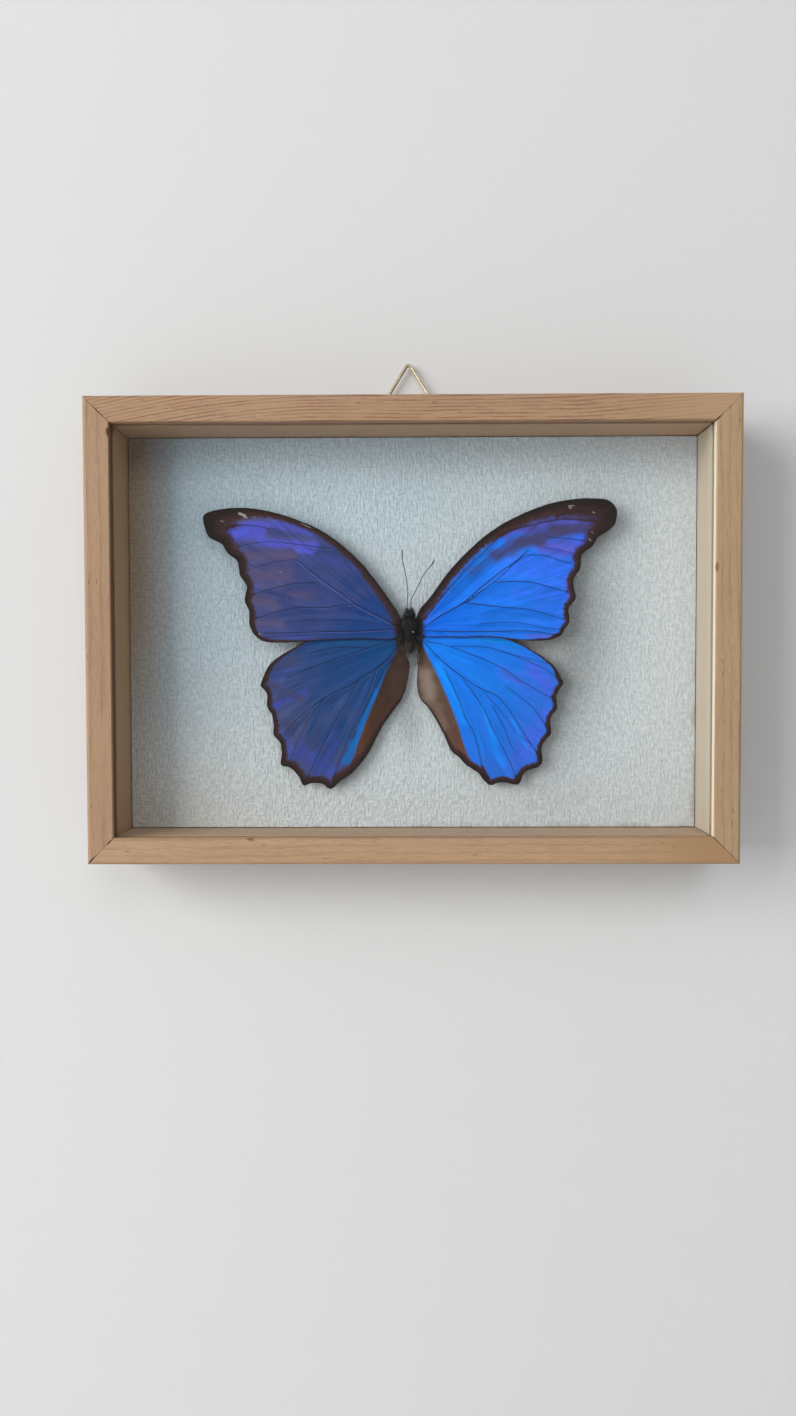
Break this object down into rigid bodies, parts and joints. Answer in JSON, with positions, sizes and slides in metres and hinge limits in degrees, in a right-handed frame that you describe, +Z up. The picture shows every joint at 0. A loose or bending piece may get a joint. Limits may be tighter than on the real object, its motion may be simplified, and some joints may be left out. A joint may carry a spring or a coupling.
{
  "type": "framed butterfly specimen",
  "caption": "Large blue butterfly spread on a white embossed card behind glass in a shallow pine box frame, with a brass wire triangle for a wall nail.",
  "frame": {"origin": "the point where the wall nail bears, inside the bend at the top of the wire triangle", "axes": "+Z up, the glass faces -Y, the wall is on the +Y side, +X to the viewer's right"},
  "size_m": [0.21, 0.033, 0.1681],
  "materials": {
    "pine": "bare sanded pine with reddish-brown grain lines",
    "glass": "clear picture glass",
    "card": "white card embossed with a canvas-like pattern",
    "foam": "white pinning foam, hidden",
    "hardboard": "brown pressed hardboard",
    "brass": "thin bright brass plating",
    "steel": "plain steel",
    "wing_scales_right": "iridescent blue wing scales lit bright, brown margins",
    "wing_scales_left": "iridescent blue wing scales seen dark, brown margins",
    "insect_fur": "dark brown hair",
    "chitin": "dark brown chitin"
  },
  "bodies": {
    "framed_box": {"rail_top": "pine", "rail_right": "pine", "rail_bottom": "pine", "rail_left": "pine", "glass_pane": "glass", "backing_card": "card", "pinning_foam": "foam", "back_board": "hardboard", "board_brad_1": "steel", "board_brad_2": "steel", "board_brad_3": "steel", "board_brad_4": "steel", "board_brad_5": "steel", "board_brad_6": "steel", "board_brad_7": "steel", "board_brad_8": "steel", "board_brad_9": "steel", "board_brad_10": "steel", "board_brad_11": "steel", "board_brad_12": "steel", "hanger_strap": "brass", "hanger_nail_1": "brass", "hanger_nail_2": "brass", "forewing_right": "wing_scales_right", "forewing_left": "wing_scales_left", "hindwing_right": "wing_scales_right", "hindwing_left": "wing_scales_left", "insect_body": "insect_fur", "antenna_left": "chitin", "antenna_right": "chitin", "leg_middle_left": "chitin", "leg_middle_right": "chitin", "leg_hind_left": "chitin", "leg_hind_right": "chitin", "insect_pin": "steel"},
    "wire_triangle": {"hanger_ring": "brass"}
  },
  "joints": [
    {"name": "ring_swing", "type": "hinge", "parent": "framed_box", "child": "wire_triangle", "pos_m": [0, 0, -0.02005], "axis": [-1, 0, 0], "range_deg": [-12, 180]}
  ]
}
